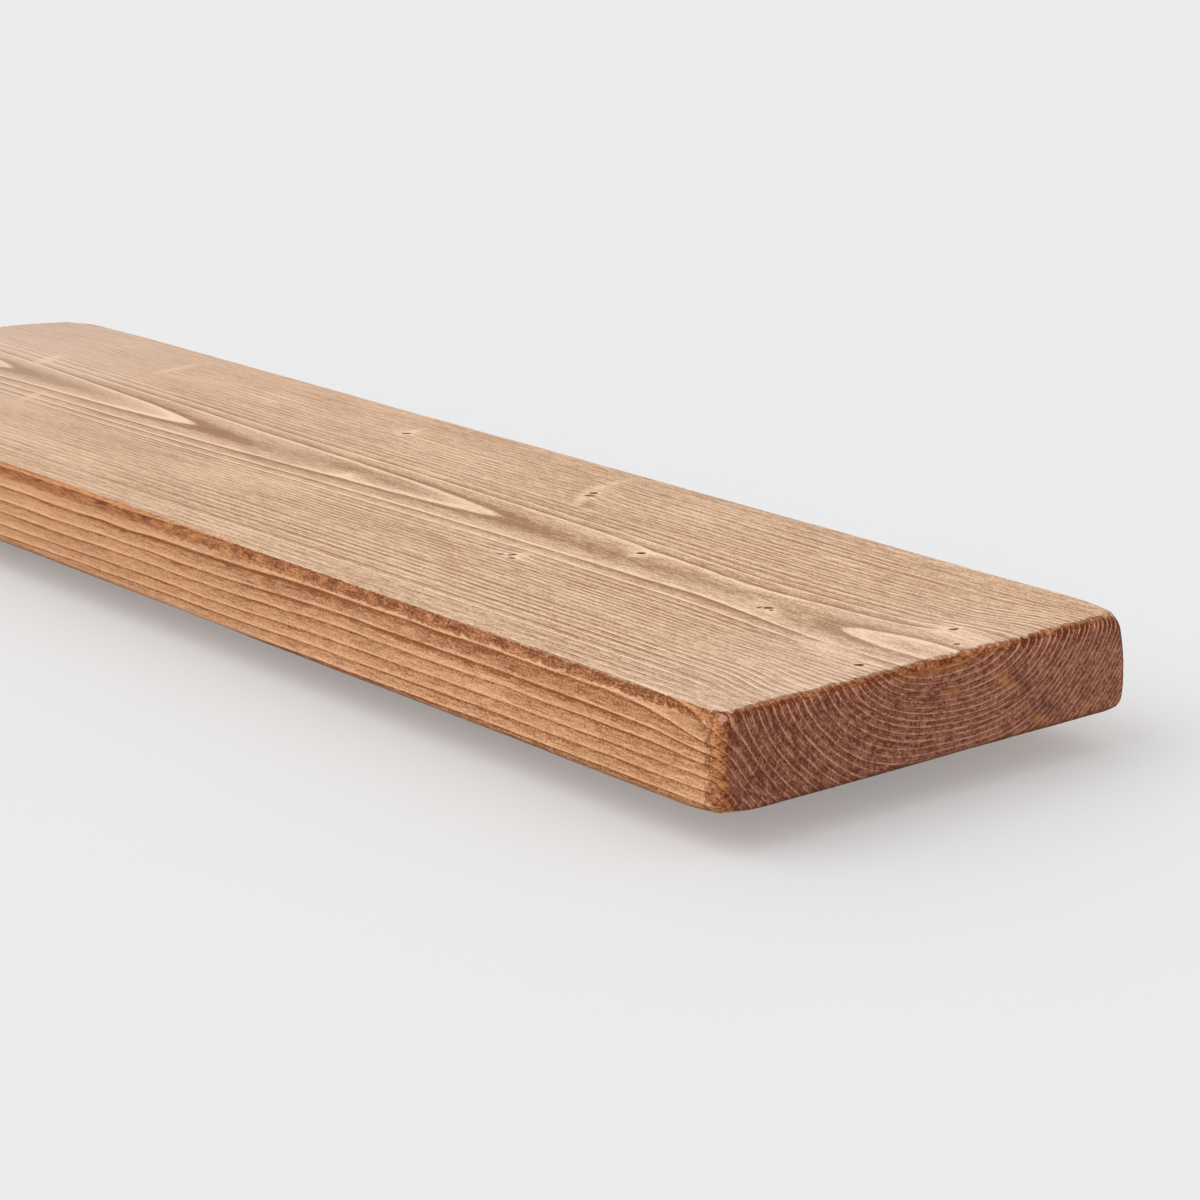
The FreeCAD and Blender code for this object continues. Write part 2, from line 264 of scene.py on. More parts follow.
def turned_mesh(name, profile, segments=64, **options):
    """A body turned about Y from (radius, y) pairs that start and end on the axis."""
    rows = profile[1:-1]
    points = circles(rows, segments)
    faces = grid_faces(len(rows), segments, closed=True)
    for on_axis, row in ((profile[0], 0), (profile[-1], len(rows) - 1)):
        points.append((0, on_axis[1], 0))
        faces += fan(row * segments, segments, len(points) - 1)
    return solid(name, points, faces, **options)


def move(thing, x=0.0, y=0.0):
    """Moves a piece's mesh, in millimetres; its object stays at the origin."""
    thing.data.transform(Matrix.Translation(Vector((x, y, 0.0)) / MM))


def join(things, name):
    """One object from several, with their meshes put together."""
    with bpy.context.temp_override(
        active_object=things[0], selected_editable_objects=things, object=things[0]
    ):
        bpy.ops.object.join()
    things[0].name = name
    return things[0]


def turned_row(name, profile, places, **options):
    """One object of several turned bodies, one at each (name, x) place."""
    made = [turned_mesh(name, profile, **options) for _ in places]
    for thing, (_, along) in zip(made, places):
        move(thing, x=along)
    return join(made, name)


def cut(thing, cutter):
    """Takes the cutter out of the thing and removes the cutter."""
    step = thing.modifiers.new("cut", "BOOLEAN")
    step.operation = "DIFFERENCE"
    step.solver = "MANIFOLD"
    step.object = cutter
    view = bpy.context.evaluated_depsgraph_get()
    made = bpy.data.meshes.new_from_object(thing.evaluated_get(view), depsgraph=view)
    thing.modifiers.clear()
    thing.data = made
    bpy.data.objects.remove(cutter)


def rounded_outline(length, height, corner, spacing=math.inf):
    """Points round a rectangle with round corners, in x and z, anticlockwise and about this far apart."""
    per_corner = 8
    outline = []
    for turn, (side_x, side_z) in enumerate(((1, -1), (1, 1), (-1, 1), (-1, -1))):
        centre = np.array([side_x * (length / 2 - corner), side_z * (height / 2 - corner)])
        for step in range(per_corner + 1):
            angle = math.pi / 2 * (turn - 1 + step / per_corner)
            outline.append(centre + corner * np.array([math.cos(angle), math.sin(angle)]))
    dense = []
    for start, end in zip(outline, outline[1:] + outline[:1]):
        pieces = max(1, round(float(np.linalg.norm(end - start)) / spacing))
        dense += [start + (end - start) * piece / pieces for piece in range(pieces)]
    return np.array(dense)


# --- the board ---


CORNERS = (
    # side of x, y and z, how much larger the worn corner's radius is, and how far the wear reaches
    (1, -1, -1, 5.4, 12),
    (1, 1, 1, 6.8, 15),
    (1, 1, -1, 3.8, 9),
    (1, -1, 1, 0.6, 6),
    (-1, -1, -1, 3.2, 8),
    (-1, 1, 1, 7, 18),
    (-1, 1, -1, 3.4, 8),
    (-1, -1, 1, 2, 8),
)
# Distances of the skin's grid lines from a side, and the steps further in, along the board and across it.
ARRIS_LINES = np.array([0, 0.45, 0.95, 1.5, 2.2, 3.0, 4.0, 5.2, 6.6, 8.2, 10.2, 12.8])
STEP_ALONG, STEP_ACROSS = 8.5, 1.05


def arris_radius(points):
    """Radius of the hand-sanded arris near each point: uneven, and larger on the worn corners."""
    x, y, z = points.T
    radius = 3.3 + 0.40 * drift(x, y, z, (45, 45, 45), 11) + 0.2 * drift(x, y, z, (11, 11, 11), 12)
    radius = radius - 1.1 * smoothstep(-6, -16, z) - 1.2 * smoothstep(-22, -6, y)
    radius = radius + 1.5 * bell(x, END, 12) * bell(y, FRONT, 12)
    for side_x, side_y, side_z, extra, reach in CORNERS:
        corner = np.where(np.array((side_x, side_y, side_z)) > 0, BOARD_HIGH, BOARD_LOW)
        away = ((points - corner) ** 2).sum(1)
        radius = radius + extra * np.exp(-away / reach**2)
    return radius


def round_off(points):
    """The points moved onto the rounded board, and the directions that face out of it."""
    radius = arris_radius(points)[:, None]
    core = np.clip(points, BOARD_LOW + radius, BOARD_HIGH - radius)
    out = points - core
    out /= np.maximum(np.linalg.norm(out, axis=1, keepdims=True), 1e-9)
    return core + out * radius, out


def grid_lines(low, high, step, knots=()):
    """Grid lines from side to side: close over the arrises and about the knots, and even elsewhere."""
    knot_step, knot_reach = 2.0, 8.0
    start, stop = low + ARRIS_LINES[-1], high - ARRIS_LINES[-1]
    inner = [start]
    while inner[-1] < stop:
        close = any(abs(inner[-1] - knot) < knot_reach for knot in knots)
        inner.append(inner[-1] + (knot_step if close else step))
    inner = start + (np.array(inner) - start) * (stop - start) / (inner[-1] - start)
    return np.concatenate([low + ARRIS_LINES[:-1], inner, high - ARRIS_LINES[-2::-1]])


def side_quads(lines, fixed, high):
    """Index triples of one side's quads, wound to face out."""
    first, second = (axis for axis in range(3) if axis != fixed)
    a, b = np.meshgrid(range(len(lines[first]) - 1), range(len(lines[second]) - 1), indexing="ij")
    quads = np.full((a.size, 4, 3), len(lines[fixed]) - 1 if high else 0)
    for corner, (da, db) in enumerate(((0, 0), (1, 0), (1, 1), (0, 1))):
        quads[:, corner, first] = a.ravel() + da
        quads[:, corner, second] = b.ravel() + db
    faces_up = (fixed != 1) == high
    return quads if faces_up else quads[:, ::-1]


def bridge(outer, inner, outer_at, inner_at):
    """Triangles between two lines of points that run the same way, by how far along each point is."""
    faces, i, j = [], 0, 0
    while i < len(outer) - 1 or j < len(inner) - 1:
        if j == len(inner) - 1 or (i < len(outer) - 1 and outer_at[i + 1] <= inner_at[j + 1]):
            faces.append((outer[i], outer[i + 1], inner[j]))
            i += 1
        else:
            faces.append((outer[i], inner[j + 1], inner[j]))
            j += 1
    return faces


def board_shell():
    """The plank's skin: one closed mesh, finely divided except over the middle of its underside."""
    knot_places = [knot[0] for knot in KNOTS[:-1]]
    lines = (
        grid_lines(BOARD_LOW[0], END, STEP_ALONG, knot_places),
        grid_lines(FRONT, BACK, STEP_ACROSS),
        grid_lines(BOTTOM, TOP, STEP_ACROSS),
    )
    counts = [len(line) for line in lines]
    margin = len(ARRIS_LINES) - 1
    quads = [side_quads(lines, axis, high) for axis in range(3) for high in (False, True)]
    under = quads[4]
    low = under[:, :, :2].min(1)
    inside = (low >= margin).all(1) & (low < np.array(counts[:2]) - 1 - margin).all(1)
    quads[4] = under[~inside]
    quads = np.concatenate(quads)
    keys = (quads[..., 0] * counts[1] + quads[..., 1]) * counts[2] + quads[..., 2]
    found, corners = np.unique(keys, return_inverse=True)
    triples = np.unravel_index(found, tuple(counts))
    points, _ = round_off(np.stack([line[places] for line, places in zip(lines, triples)], 1))
    faces = corners.reshape(-1, 4).tolist()

    def under_edge(i, j):
        return np.searchsorted(found, (i * counts[1] + j) * counts[2]).tolist()

    last_i, last_j = counts[0] - 1 - margin, counts[1] - 1 - margin
    wide = np.linspace(lines[0][margin] + 5, lines[0][last_i] - 5, 90)
    deep = np.linspace(lines[1][margin] + 2, lines[1][last_j] - 2, 110)
    start = len(points)
    coarse = [(x, y, BOTTOM) for x in wide for y in deep]
    points = np.concatenate([points, coarse])
    faces += [face[::-1] for face in grid_faces(len(wide), len(deep), start=start)]
    rows = (start + np.arange(len(coarse)).reshape(len(wide), len(deep))).tolist()
    columns = [list(column) for column in zip(*rows)]
    long_edge, short_edge = np.arange(margin, last_i + 1), np.arange(margin, last_j + 1)
    for inner, outer, along in (
        (columns[0], under_edge(long_edge, margin), 0),
        (columns[-1], under_edge(long_edge, last_j), 0),
        (rows[0], under_edge(margin, short_edge), 1),
        (rows[-1], under_edge(last_i, short_edge), 1),
    ):
        faces += bridge(outer, inner, points[outer, along], points[inner, along])
    return solid("shelf_board_wood", points, faces)


def recess_cutter():
    """The three plate recesses as one cutter, with closely divided floors."""
    outline = rounded_outline(RECESS_LENGTH, RECESS_HEIGHT, RECESS_CORNER, spacing=2.2)
    spine_end = (RECESS_LENGTH - RECESS_HEIGHT) / 2
    spine = np.stack([np.clip(outline[:, 0], -spine_end, spine_end), np.zeros(len(outline))], 1)
    floor = -RECESS_DEPTH
    rows = [(outline, y) for y in (3.0, 0.5, -1.7, -3.4, floor)]
    rows += [(spine + (outline - spine) * t, floor) for t in (0.86, 0.7, 0.55, 0.4, 0.25, 0.1, 0.0)]
    made = []
    for _, along in BRACKETS:
        points = [(x + along, y, z) for ring, y in rows for x, z in ring]
        faces = grid_faces(len(rows), len(outline), closed=True)
        faces.append(tuple(range(len(outline))))
        made.append(solid("recess", points, faces))
    return join(made, "recesses")


def bore_cutter():
    """The three rod bores as one cutter: a chamfered mouth, the bore and the drill's point."""
    radius, mouth, above = BORE_RADIUS, MOUTH_RADIUS, 2.5  # it starts above the recess's floor
    floor, bottom = RECESS_DEPTH, ROD_TIP + BORE_END_GAP
    profile = [(0.0, -floor + above), (mouth, -floor + above), (mouth, -floor)]
    profile += [(radius, -floor - mouth + radius)]
    profile += [(radius, -y) for y in np.linspace(floor + 6.0, bottom, 36)]
    profile += [(0.0, -bottom - radius / math.tan(math.radians(DRILL_HALF_ANGLE)))]
    return turned_row("bores", profile, BRACKETS, segments=40)


def read_points(items, what):
    """Places of a mesh's vertices or faces, in millimetres."""
    flat = np.empty(len(items) * 3)
    items.foreach_get(what, flat)
    return flat.reshape(-1, 3) * MM


def inside_cuts(points):
    """True for points on the recesses and bores, which are left unstained."""
    x, y, z = points.T
    slack = 0.05
    from_middle = np.min([np.abs(x - along) for _, along in BRACKETS], axis=0)
    hit = (from_middle < RECESS_LENGTH / 2 + slack) & (np.abs(z) < RECESS_HEIGHT / 2 + slack)
    return hit & (y < BACK - 0.02) & (y > FRONT + 30)


def make_board():
    """The plank with its recesses, bores, brushed grain and wear, and the numbers its material reads."""
    board = board_shell()
    cut(board, recess_cutter())
    cut(board, bore_cutter())
    mesh = board.data
    points = read_points(mesh.vertices, "co")
    x, y, z = points.T
    hidden = inside_cuts(points)
    _, out = round_off(points)
    count = ring_count(x, y, z)
    facing_end, facing_front = np.abs(out[:, 0]), -out[:, 1]
    upright = smoothstep(0.1, 0.4, facing_front) * smoothstep(14, 11, np.abs(z))
    end = smoothstep(0.42 + 0.35 * upright, 0.8 + 0.17 * upright, facing_end)
    _, near = knot_field(x, y)

    # Where the stain lies blotchily, and where the edges that turn down and back get painted shade.
    from_end, below = END - np.abs(x), TOP - z
    reach = np.interp(x, (-150, 350), (7.8, 4.2))
    turned = 0.2 * smoothstep(0, 300, x)
    faces_front = smoothstep(0.15 + turned, 0.55 + turned, facing_front)
    front_strip = faces_front * smoothstep(reach + 1.7, reach - 1.5, below)
    corner_strip = smoothstep(0.0, 0.35, facing_front) * smoothstep(13.0, 2.0, from_end)
    by_tips = bell(y, TIPS_Y - 2, 30)
    top_strip = smoothstep(5.5, 1.0, from_end) * smoothstep(2.8 + 2.4 * by_tips, 0.6 + by_tips, below)
    # Painted shade: the bottom edges and the end's back edge darken where they turn away from the light.
    bottom_edge_shade = smoothstep(3.2, 1.2, z - BOTTOM) * (1 - smoothstep(0.6, 0.95, -out[:, 2]))
    back_edge_shade = smoothstep(0.1, 0.45, out[:, 1]) * smoothstep(0.2, 0.5, facing_end)

    # How far the surface stands out: brushed ridges, unevenness, pits at the knots, and wear.
    height = 0.045 * (ridge(count) - 0.4) * (1 + end) + 0.04 * drift(x, y, z, (3.5, 3.5, 3.5), 22) * end
    height = height + 0.10 * drift(x, y, z, (70, 40, 40), 23) * (1 - end)
    height = height - 0.2 * (near > 0) * bell(near, 1, 0.06) * (below < 2)
    height = height - 2.6 * bell(x, -455, 62) * bell(y, 4, 45) * np.maximum(out[:, 2], 0) ** 2
    height = np.where(hidden | (np.abs(y - BACK) < 0.01) & (out[:, 1] > 0.99), 0, height)
    moved = (points + out * height[:, None]) / MM
    mesh.vertices.foreach_set("co", moved.ravel())

    for name, values in {
        "rings": count,
        "around": np.arctan2(y - pith_line(x, y), TOP + pith_drop(x, y) - z) * 100,
        "endgrain": end,
        "upward": smoothstep(0.6, 0.98, out[:, 2]),
        "stain": np.maximum.reduce([front_strip, corner_strip, top_strip]),
        "notch": end * smoothstep(8.0, 2.0, below),
        # painted shade on the edges that turn down and back
        "painted_rim_shade": np.maximum(0.55 * bottom_edge_shade, 0.75 * back_edge_shade),
        "swirl": near,
    }.items():
        layer = mesh.attributes.new(name, "FLOAT", "POINT")
        layer.data.foreach_set("value", np.asarray(values, np.float32))
    raw = inside_cuts(read_points(mesh.polygons, "center"))
    mesh.materials.clear()
    mesh.materials.append(stained_softwood())
    mesh.materials.append(raw_softwood())
    mesh.polygons.foreach_set("material_index", raw.astype(np.int32))
    shade(mesh, 40)
    mesh.update()
    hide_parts("shelf_board")
    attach(board, "board")


# --- node trees ---


class Tree:
    """Short calls for building one material's nodes, or the world's, from numbers, tuples and sockets."""

    def __init__(self, name, kind="materials"):
        self.owner = getattr(bpy.data, kind).new(name)
        self.owner.use_nodes = True
        self.tree = self.owner.node_tree
        self.shader = self.tree.nodes["Background" if kind == "worlds" else "Principled BSDF"]

    def node(self, kind, inputs=(), **settings):
        """A new node, with its inputs set or linked by name or number."""
        made = self.tree.nodes.new(kind)
        for name, value in settings.items():
            setattr(made, name, value)
        for socket, value in dict(inputs).items():
            self.plug(value, made.inputs[socket])
        return made

    def plug(self, value, socket):
        """Sets an input or links it; a colour gets its alpha here."""
        if isinstance(value, bpy.types.NodeSocket):
            self.tree.links.new(value, socket)
        elif isinstance(value, (int, float)) or socket.type == "VECTOR":
            socket.default_value = value
        else:
            socket.default_value = (*value, 1.0)

    def attribute(self, name):
        """A number that the mesh holds for each of its points."""
        return self.node("ShaderNodeAttribute", attribute_name=name).outputs["Fac"]

    def math(self, operation, *values, **settings):
        made = self.node("ShaderNodeMath", dict(enumerate(values)), operation=operation, **settings)
        return made.outputs[0]

    def vector(self, operation, *values):
        made = self.node("ShaderNodeVectorMath", dict(enumerate(values)), operation=operation)
        return made.outputs["Value" if operation == "LENGTH" else "Vector"]

    def fold(self, operation, values):
        """One number from several, taken two at a time."""
        result = values[0]
        for value in values[1:]:
            result = self.math(operation, result, value)
        return result

    def times(self, *values):
        return self.fold("MULTIPLY", values)

    def total(self, *values):
        return self.fold("ADD", values)

    def largest(self, *values):
        return self.fold("MAXIMUM", values)

    def clamped(self, value):
        """The number, kept from 0 to 1."""
        return self.math("MULTIPLY", value, 1.0, use_clamp=True)

    def ramp(self, value, stops):
        """A brightness read off (place, brightness) stops."""
        made = self.node("ShaderNodeValToRGB", {"Fac": value})
        band = made.color_ramp
        band.elements.remove(band.elements[1])
        for place, bright in stops:
            band.elements.new(place).color = (bright, bright, bright, 1)
        band.elements.remove(band.elements[0])
        return self.node("ShaderNodeRGBToBW", {"Color": made.outputs["Color"]}).outputs[0]

    def span(self, value, low, high, to_low=0.0, to_high=1.0, kind="SMOOTHSTEP"):
        """From to_low to to_high as the value goes from low to high, and level beyond."""
        inputs = {"Value": value, "From Min": low, "From Max": high, "To Min": to_low, "To Max": to_high}
        return self.node("ShaderNodeMapRange", inputs, interpolation_type=kind).outputs["Result"]

    def fade(self, value, at_zero, at_one):
        """From one number to another, evenly, as the value goes from 0 to 1."""
        return self.span(value, 0, 1, at_zero, at_one, "LINEAR")

    def noisy(self, noise, low, high):
        """A noise as a number from low to high."""
        return self.span(noise, 0.3, 0.7, low, high, "LINEAR")

    def either_way(self, noise, amount):
        """A noise as a number from minus to plus the amount."""
        return self.noisy(noise, -amount, amount)

    def place(self, scale=(1, 1, 1), shift=(0, 0, 0), turn=(0, 0, 0)):
        """Object coordinates, shifted, turned about the origin and then stretched."""
        spot = self.vector("SUBTRACT", self.node("ShaderNodeTexCoord").outputs["Object"], shift)
        inputs = {"Vector": spot, "Rotation": turn}
        turned = self.node("ShaderNodeVectorRotate", inputs, rotation_type="EULER_XYZ")
        return self.vector("MULTIPLY", turned.outputs[0], scale)

    def noise(self, where, detail=2.0, roughness=0.5):
        """Noise by place, or by the object's coordinates times one number or a tuple of three."""
        if isinstance(where, int):
            where = (where, where, where)
        if isinstance(where, tuple):
            where = self.place(where)
        inputs = {"Vector": where, "Scale": 1.0, "Detail": detail, "Roughness": roughness}
        return self.node("ShaderNodeTexNoise", inputs).outputs["Fac"]

    def mix(self, amount, first, second):
        """A colour between two others."""
        inputs = {0: amount, 6: first, 7: second}
        return self.node("ShaderNodeMix", inputs, data_type="RGBA", clamp_factor=True).outputs[2]

    def bump(self, height, distance):
        bumps = self.node("ShaderNodeBump", {"Height": height, "Distance": distance})
        self.plug(bumps.outputs[0], self.shader.inputs["Normal"])

    def finish(self, **inputs):
        """Sets the shader's own inputs; gives the material or the world."""
        for name, value in inputs.items():
            self.plug(value, self.shader.inputs[name.replace("_", " ")])
        return self.owner

    def show_camera(self, other, amount):
        """Mixes another shader into what the camera sees, by a reflection or through glass too."""
        path = self.node("ShaderNodeLightPath").outputs
        seen = self.largest(path["Is Camera Ray"], path["Is Glossy Ray"], path["Is Transmission Ray"])
        surface = self.shader.outputs[0].links[0].to_socket
        inputs = {0: self.times(seen, amount), 1: self.shader.outputs[0], 2: other.outputs[0]}
        self.plug(self.node("ShaderNodeMixShader", inputs).outputs[0], surface)


# --- the wood's materials ---


# Linear colours of the wood.
SOFT_WOOD, HARD_LINE = (0.255, 0.082, 0.022), (0.85, 0.475, 0.26)
# The top face's pair is paler and greyer than the sides': the wood's colour with painted sheen, the grazing
# reflection that lightens the top, mixed in.
SOFT_TOP_WITH_SHEEN, HARD_TOP_WITH_SHEEN = (0.325, 0.152, 0.062), (0.87, 0.60, 0.395)
# Painted sheen: the paler colours that the top takes towards its far left end and by its right end, as a
# grazing reflection pales it.
PAINTED_FAR_SHEEN = (0.62, 0.465, 0.385)
PAINTED_END_SHEEN = (0.95, 0.78, 0.68)
WORN = (0.70, 0.39, 0.28)
STAIN_DARK, STAIN_ORANGE = (0.155, 0.030, 0.005), (0.70, 0.31, 0.118)
STAIN_RED = (0.70, 0.285, 0.108)
# Painted shade for the edges that turn down and back, away from the light.
PAINTED_RIM_SHADE = (0.075, 0.030, 0.020)
END_LOW, END_HIGH = (0.142, 0.037, 0.017), (0.645, 0.30, 0.195)
END_DARK = (0.060, 0.018, 0.012)
NOTCH_PALE = (0.76, 0.36, 0.20)
STREAK = (0.50, 0.21, 0.06)
KNOT_CORE = (0.13, 0.032, 0.004)

# Paleness across one ring, from its inner to its outer edge.
RING_TONES = (
    (0.0, 0.25), (0.025, 0.0), (0.11, 0.03), (0.20, 0.28), (0.45, 0.43),
    (0.72, 0.52), (0.84, 0.72), (0.90, 1.0), (0.965, 1.0), (1.0, 0.45),
)

# Soft ovals of colour: where they lie, their half length and half width, and their turn in degrees.
TOP_PALE = (
    (122, -25, 20, 4.5, 80), (139, -58, 12, 4, 50), (-41, -26, 12, 4, 80),
    (436, -82, 17, 9, 10), (420, -84, 9, 5, 40), (410, -139, 26, 11, 8),
    (335, -112, 8, 5, 30), (350, -119, 9, 4.5, 30), (203, -143, 9, 4, 70),
    (237, -104, 6, 4, 70), (18, -112, 8, 2.5, 60), (-337, -82, 18, 7, 60),
    (-265, -36, 20, 5, 80), (-254, -140, 16, 5, 60),
)
TOP_DARK = (
    (122, -48, 10, 5, 60), (146, -60, 10, 5, 50), (272, -109, 112, 8.5, -2),
    (40, -105, 95, 11, 0), (-90, -112, 40, 7, 0), (-262, -110, 48, 9, 0),
)
END_PALE = (
    (-76, 5, 11, 3.2, 38), (-55, -16, 7, 2.6, 38), (-108, 6, 7, 3, 0),
    (-117, 19, 27, 4.2, 0),
)
END_STAINED = (
    (-66, 4, 10, 3.6, 42), (-49, -11, 8, 3.2, 36), (-118, 5, 5, 2.5, 0),
)
END_FAINT = ((-116, 8, 30, 5.5, 0),)
SCRATCHES = (
    (434, 13, 9, 0.35, 40), (428, 14.5, 6, 0.3, -35), (440, 10, 7, 0.3, 60),
)


def ring_lines(tree, rings):
    """A number for each ring, and how pale the stain leaves a point across it."""
    chance = tree.node("ShaderNodeTexWhiteNoise", {"W": tree.math("FLOOR", rings)}, noise_dimensions="1D")
    return chance.outputs["Value"], tree.ramp(tree.math("FRACT", rings), RING_TONES)


def ovals(tree, plane, table):
    """Soft ovals in the plane of two axes, from 0 to 1 in the middle of each."""
    first, second = ("xyz".index(axis) for axis in plane)
    spots = []
    for *middle, long, wide, turn in table:
        scale, shift, angle = [0.0] * 3, [0.0] * 3, [0.0] * 3
        scale[first], scale[second] = MM / long, MM / wide
        shift[first], shift[second] = (at / MM for at in middle)
        angle[3 - first - second] = math.radians(turn)
        away = tree.vector("LENGTH", tree.place(scale, shift, angle))
        spots.append(tree.span(away, 1.3, 0.2))
    return tree.largest(*spots)


def knot_cores(tree):
    """The knots' dark cores and the cracks beside them, from 0 to 1."""
    soft = 1.5  # a soft oval has to be this much larger than the mark that it draws
    marks = [(x, y, soft * long, soft * wide, -turn) for x, y, long, wide, turn in MARKS]
    ragged = tree.either_way(tree.noise(900), 0.2)
    return tree.span(tree.total(ovals(tree, "xy", marks), ragged), 0.3, 0.65)


class Wood(Tree):
    """The stained board's nodes, with the places, ring lines and noises that its parts share."""

    def __init__(self, name):
        super().__init__(name)
        self.x, self.y, self.z = self.node("ShaderNodeSeparateXYZ", {"Vector": self.place()}).outputs
        self.rings, self.end, self.upward = (self.attribute(it) for it in ("rings", "endgrain", "upward"))
        self.chance, self.pale = ring_lines(self, self.rings)
        self.crisp = self.span(self.x, -0.32, 0.34, 0.35, 1.0)
        self.fibres = self.noise((34, 560, 1000), 3, 0.6)
        self.hairs = self.noise((130, 640, 1700))
        self.speck = self.noise((800, 620, 1500), 2, 0.6)
        self.pores = self.noise(850, 3, 0.75)
        self.grit = self.noise(330)
        self.patch = self.noise((70, 120, 160), 4, 0.6)

    def stray(self, **amounts):
        """The sum of these noises, each from minus to plus its amount."""
        return self.total(*(self.either_way(getattr(self, name), most) for name, most in amounts.items()))


def long_grain(wood):
    """Colour, tone and lines along the grain: soft wood takes the stain, and each hard line stays pale; the
    top face's colours carry painted sheen.
    """
    span, times = wood.span, wood.times
    x, y, z, upward, chance, pale = wood.x, wood.y, wood.z, wood.upward, wood.chance, wood.pale
    halo = times(ovals(wood, "xy", TOP_PALE), upward)
    shadow = times(ovals(wood, "xy", TOP_DARK), upward)
    haze = wood.noise(wood.place((13, 20, 20), (0.3, 0.1, 0.2)), 3)
    faded = times(
        wood.fade(wood.math("POWER", chance, 1.3), 0.5, 2.1),
        span(haze, 0.35, 0.65, 0.5, 1.15),
        span(y, -0.032, -0.012, 1.0, 0.45),
        wood.crisp,
    )
    by_pith = span(wood.rings, 2.2, 1.0)
    faded = times(wood.largest(faded, by_pith), span(halo, 0, 1, 1.0, 0.35))
    full = times(wood.fade(chance, 0.68, 1.08), span(wood.crisp, 0.3, 1, 0.85, 1.0))
    top_lines = wood.math("MULTIPLY_ADD", wood.math("SUBTRACT", pale, 0.46), faded, 0.46)
    side_lines = wood.math("SUBTRACT", wood.math("POWER", pale, 0.75), 0.54)
    side_lines = wood.math("MULTIPLY_ADD", side_lines, full, 0.53)
    lines = wood.node("ShaderNodeMix", {0: upward, 2: side_lines, 3: top_lines}).outputs[0]

    # The band of soft wood just under the front's upper strip is darker too.
    under = times(
        span(z, 0.0025, 0.0055),
        span(z, 0.0155, 0.0125),
        span(x, 0.05, 0.09),
        span(x, 0.42, 0.36),
        span(y, -0.22, -0.232),
    )
    tone = wood.total(
        lines,
        wood.stray(fibres=0.13),
        wood.either_way(wood.noise((9, 42, 70), 3), 0.11),
        times(wood.stray(hairs=0.24, speck=0.30), wood.crisp),
        times(wood.attribute("swirl"), 0.30),
        times(halo, 0.24),
        times(shadow, -0.22),
        times(under, wood.noisy(wood.patch, -0.34, -0.10)),
    )
    tone = wood.clamped(tone)
    # The top face takes the paler pair, which holds painted sheen.
    low, high = wood.mix(upward, SOFT_WOOD, SOFT_TOP_WITH_SHEEN), wood.mix(upward, HARD_LINE, HARD_TOP_WITH_SHEEN)
    # Painted sheen: the top pales towards its far left end.
    far_sheen = times(span(x, -0.12, -0.45, 0, 0.4), upward)
    # Painted sheen: the top by the right end pales and turns pinker, as a grazing reflection makes it.
    end_sheen = times(span(x, 0.34, 0.43, 0, 0.12), span(y, -0.03, -0.07), upward)
    colour = wood.mix(far_sheen, wood.mix(tone, low, high), PAINTED_FAR_SHEEN)
    return wood.mix(end_sheen, colour, PAINTED_END_SHEEN), tone, lines


def end_grain(wood):
    """Colour of the end grain: dark, with pale lines, dark pores along the rings, and streaks across them."""
    span, times = wood.span, wood.times
    y, patch, notch = wood.y, wood.patch, wood.attribute("notch")
    ring_wise = {"X": times(wood.attribute("around"), 0.16), "Y": times(wood.rings, 2.8)}
    dashes = wood.noise(wood.node("ShaderNodeCombineXYZ", ring_wise).outputs[0], 3, 0.6)
    zebra = times(span(y, -0.08, -0.03), span(wood.z, 0.004, 0.018))
    thin = times(
        span(wood.pale, 0.38, 1.0),
        wood.fade(wood.chance, 0.65, 1.1),
        wood.noisy(patch, 0.65, 1.1),
        span(wood.grit, 0.32, 0.6, 0.55, 1.15),
        span(notch, 0, 1, 0.76, 1.35),
        span(ovals(wood, "yz", END_FAINT), 0, 1, 1.0, 0.45),
        span(y, -0.14, -0.09, 1.0, 1.3),
        span(zebra, 0, 1, 1.0, 1.4),
    )
    tone = wood.total(
        thin,
        span(y, -0.22, -0.11, 0.15, 0.22),
        times(notch, wood.noisy(patch, -0.30, 0.20)),
        times(zebra, -0.10),
        wood.either_way(dashes, 0.24),
        wood.stray(pores=0.36, grit=0.10, patch=0.05),
    )
    tone = wood.clamped(tone)
    colour = wood.mix(tone, END_LOW, END_HIGH)
    colour = wood.mix(times(notch, 0.5), colour, wood.mix(tone, STAIN_DARK, NOTCH_PALE))
    holes = wood.total(dashes, wood.stray(pores=0.12))
    colour = wood.mix(span(holes, 0.36, 0.26, 0, 0.75), colour, END_DARK)
    colour = wood.mix(times(ovals(wood, "yz", END_PALE), 0.38), colour, STREAK)
    return wood.mix(times(ovals(wood, "yz", END_STAINED), 0.5), colour, END_DARK)


